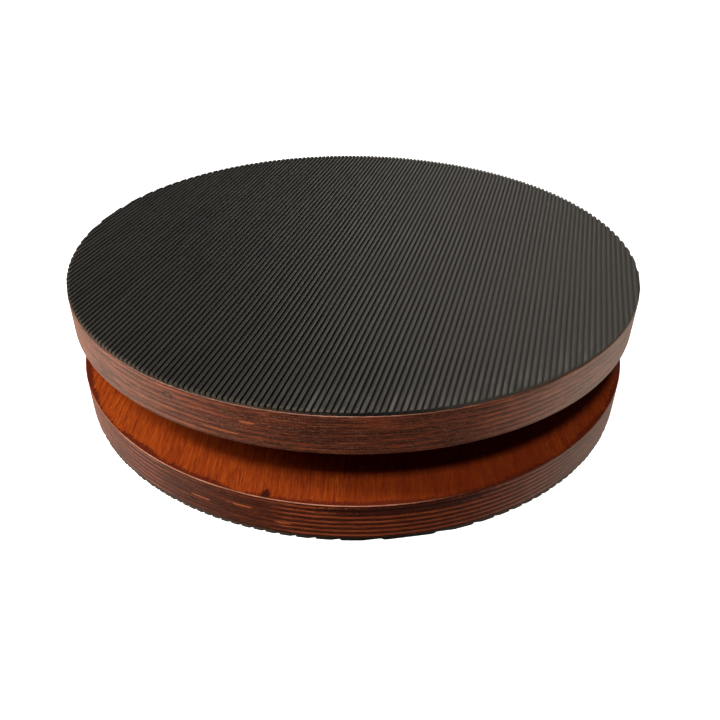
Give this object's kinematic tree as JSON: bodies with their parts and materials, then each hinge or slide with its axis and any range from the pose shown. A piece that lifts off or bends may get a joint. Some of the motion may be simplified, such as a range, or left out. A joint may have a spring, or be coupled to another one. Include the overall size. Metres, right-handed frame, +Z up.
{
  "type": "lazy susan turntable",
  "caption": "Round tabletop turntable: two equal stained plywood discs, ribbed rubber on the top and under the base, turning on a hidden ball bearing over a riser.",
  "frame": {"origin": "on the floor, at the middle of the base mat and on the turning axis", "axes": "+Z up the turning axis, towards the work surface; +X towards the access hole in the base; the side seen first faces -Y"},
  "size_m": [0.33, 0.33, 0.077],
  "materials": {
    "rubber_sheet": "matte black ribbed rubber with a faint sheen along the crests",
    "stained_plywood": "birch plywood stained red-brown under gloss lacquer, plies showing on the rim",
    "beech": "bare turned beech",
    "plated_screws": "yellow zinc plate",
    "galvanised_steel": "galvanised pressed sheet",
    "rivet_steel": "bright zinc",
    "ball_steel": "polished hardened steel, lightly greased",
    "nylon": "natural moulded nylon"
  },
  "bodies": {
    "base": {"base_mat": "rubber_sheet", "base_disc": "stained_plywood", "riser_dowel": "beech", "riser_disc": "stained_plywood", "riser_screws": "plated_screws", "lower_bearing_plate": "galvanised_steel", "lower_plate_screws": "plated_screws"},
    "race": {"ball_cage": "nylon", "bearing_balls": "ball_steel"},
    "platter": {"upper_bearing_plate": "galvanised_steel", "retaining_ring": "galvanised_steel", "ring_rivets": "rivet_steel", "upper_plate_screws": "plated_screws", "top_disc": "stained_plywood", "top_mat": "rubber_sheet"}
  },
  "joints": [
    {"name": "platter_spin", "type": "hinge", "parent": "base", "child": "platter", "pos_m": [0, 0, 0.049], "axis": [0, 0, 1], "continuous": true},
    {"name": "race_spin", "type": "hinge", "parent": "base", "child": "race", "pos_m": [0, 0, 0.049], "axis": [0, 0, 1], "continuous": true}
  ],
  "couplings": [
    {"joint": "race_spin", "follows": "platter_spin", "ratio": 0.5}
  ]
}
